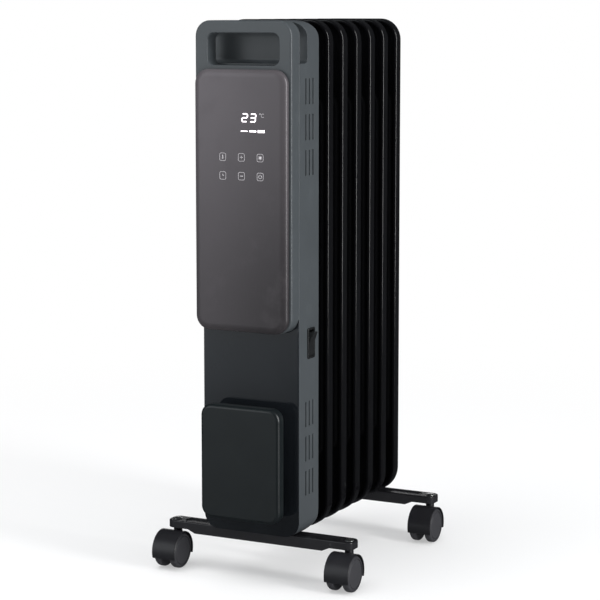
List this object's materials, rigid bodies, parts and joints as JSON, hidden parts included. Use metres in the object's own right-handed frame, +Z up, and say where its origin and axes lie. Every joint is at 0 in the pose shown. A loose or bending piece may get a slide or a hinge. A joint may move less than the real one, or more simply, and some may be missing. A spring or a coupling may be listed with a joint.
{
  "type": "oil filled radiator heater",
  "caption": "Slim oil filled column radiator with a loop handle, touch fascia, side power rocker and a cord wrap, on cross brackets with twin-wheel swivel casters.",
  "frame": {"origin": "on the floor under the centre of the object's box", "axes": "+Z up, -Y the control fascia's front, +X the side with the power rocker"},
  "size_m": [0.245, 0.3072, 0.62],
  "materials": {
    "enamel_black": "glossy black stoved enamel",
    "housing_black": "semi-gloss black moulding",
    "front_gloss": "piano gloss black",
    "fascia_satin": "satin warm dark grey film",
    "wrap_black": "satin black moulding",
    "caster_black": "satin black nylon",
    "caster_wheel": "dark grey nylon",
    "zinc": "bright zinc plate",
    "black_screw": "black oxide",
    "element_sheath": "heat-tinted sheath",
    "board_green": "solder mask",
    "display_black": "black display block",
    "spring_steel": "plain steel",
    "relay_blue": "blue relay case",
    "transformer_copper": "core and winding",
    "nylon_white": "natural nylon",
    "sensor_grey": "phenolic",
    "switch_black": "gloss black moulding",
    "gland_black": "black bush"
  },
  "bodies": {
    "radiator": {"fin_1": "enamel_black", "fin_2": "enamel_black", "fin_3": "enamel_black", "fin_4": "enamel_black", "fin_5": "enamel_black", "fin_6": "enamel_black", "fin_7": "enamel_black", "upper_header": "enamel_black", "lower_header": "enamel_black", "filler_plug": "zinc", "element_flange": "zinc", "heating_elements": "element_sheath", "control_housing": "housing_black", "handle_back": "housing_black", "fascia": "fascia_satin", "front_plate": "front_gloss", "rear_shell": "housing_black", "heat_shield": "zinc", "display_board": "board_green", "display_module": "display_black", "touch_springs": "spring_steel", "power_board": "board_green", "power_relays": "relay_blue", "transformer": "transformer_copper", "board_standoffs": "nylon_white", "terminal_block": "nylon_white", "thermal_cutout": "sensor_grey", "air_sensor": "sensor_grey", "tilt_switch_body": "nylon_white", "switch_bezel": "switch_black", "cord_neck": "wrap_black", "cord_flange_inner": "wrap_black", "cord_flange_cover": "wrap_black", "cord_gland": "gland_black", "front_bracket": "enamel_black", "rear_bracket": "enamel_black", "u_bolts": "zinc", "wing_nuts": "zinc", "housing_screws": "black_screw", "board_screws": "zinc", "cord_neck_screws": "zinc", "caster_stems": "zinc"},
    "rocker": {"power_rocker": "switch_black"},
    "pendulum": {"tilt_pendulum": "spring_steel"},
    "caster_front_left": {"hood_front_left": "caster_black", "axle_front_left": "zinc"},
    "wheel_front_left_a": {"wheel_front_left_a": "caster_wheel"},
    "wheel_front_left_b": {"wheel_front_left_b": "caster_wheel"},
    "caster_front_right": {"hood_front_right": "caster_black", "axle_front_right": "zinc"},
    "wheel_front_right_a": {"wheel_front_right_a": "caster_wheel"},
    "wheel_front_right_b": {"wheel_front_right_b": "caster_wheel"},
    "caster_rear_left": {"hood_rear_left": "caster_black", "axle_rear_left": "zinc"},
    "wheel_rear_left_a": {"wheel_rear_left_a": "caster_wheel"},
    "wheel_rear_left_b": {"wheel_rear_left_b": "caster_wheel"},
    "caster_rear_right": {"hood_rear_right": "caster_black", "axle_rear_right": "zinc"},
    "wheel_rear_right_a": {"wheel_rear_right_a": "caster_wheel"},
    "wheel_rear_right_b": {"wheel_rear_right_b": "caster_wheel"}
  },
  "joints": [
    {"name": "power_rocker_tilt", "type": "hinge", "parent": "radiator", "child": "rocker", "pos_m": [0.0567, -0.0961, 0.268], "axis": [0, 1, 0], "range_deg": [-20, 0]},
    {"name": "tilt_pendulum_swing", "type": "hinge", "parent": "radiator", "child": "pendulum", "pos_m": [0.03, -0.1046, 0.204], "axis": [1, 0, 0], "range_deg": [-20, 20]},
    {"name": "swivel_front_left", "type": "hinge", "parent": "radiator", "child": "caster_front_left", "pos_m": [-0.108, -0.1006, 0.045], "axis": [0, 0, 1], "continuous": true},
    {"name": "roll_front_left_a", "type": "hinge", "parent": "caster_front_left", "child": "wheel_front_left_a", "pos_m": [-0.108, -0.1136, 0.02], "axis": [1, 0, 0], "continuous": true},
    {"name": "roll_front_left_b", "type": "hinge", "parent": "caster_front_left", "child": "wheel_front_left_b", "pos_m": [-0.108, -0.1136, 0.02], "axis": [1, 0, 0], "continuous": true},
    {"name": "swivel_front_right", "type": "hinge", "parent": "radiator", "child": "caster_front_right", "pos_m": [0.108, -0.1006, 0.045], "axis": [0, 0, 1], "continuous": true},
    {"name": "roll_front_right_a", "type": "hinge", "parent": "caster_front_right", "child": "wheel_front_right_a", "pos_m": [0.108, -0.1136, 0.02], "axis": [1, 0, 0], "continuous": true},
    {"name": "roll_front_right_b", "type": "hinge", "parent": "caster_front_right", "child": "wheel_front_right_b", "pos_m": [0.108, -0.1136, 0.02], "axis": [1, 0, 0], "continuous": true},
    {"name": "swivel_rear_left", "type": "hinge", "parent": "radiator", "child": "caster_rear_left", "pos_m": [-0.108, 0.1285, 0.045], "axis": [0, 0, 1], "continuous": true},
    {"name": "roll_rear_left_a", "type": "hinge", "parent": "caster_rear_left", "child": "wheel_rear_left_a", "pos_m": [-0.108, 0.1155, 0.02], "axis": [1, 0, 0], "continuous": true},
    {"name": "roll_rear_left_b", "type": "hinge", "parent": "caster_rear_left", "child": "wheel_rear_left_b", "pos_m": [-0.108, 0.1155, 0.02], "axis": [1, 0, 0], "continuous": true},
    {"name": "swivel_rear_right", "type": "hinge", "parent": "radiator", "child": "caster_rear_right", "pos_m": [0.108, 0.1285, 0.045], "axis": [0, 0, 1], "continuous": true},
    {"name": "roll_rear_right_a", "type": "hinge", "parent": "caster_rear_right", "child": "wheel_rear_right_a", "pos_m": [0.108, 0.1155, 0.02], "axis": [1, 0, 0], "continuous": true},
    {"name": "roll_rear_right_b", "type": "hinge", "parent": "caster_rear_right", "child": "wheel_rear_right_b", "pos_m": [0.108, 0.1155, 0.02], "axis": [1, 0, 0], "continuous": true}
  ]
}
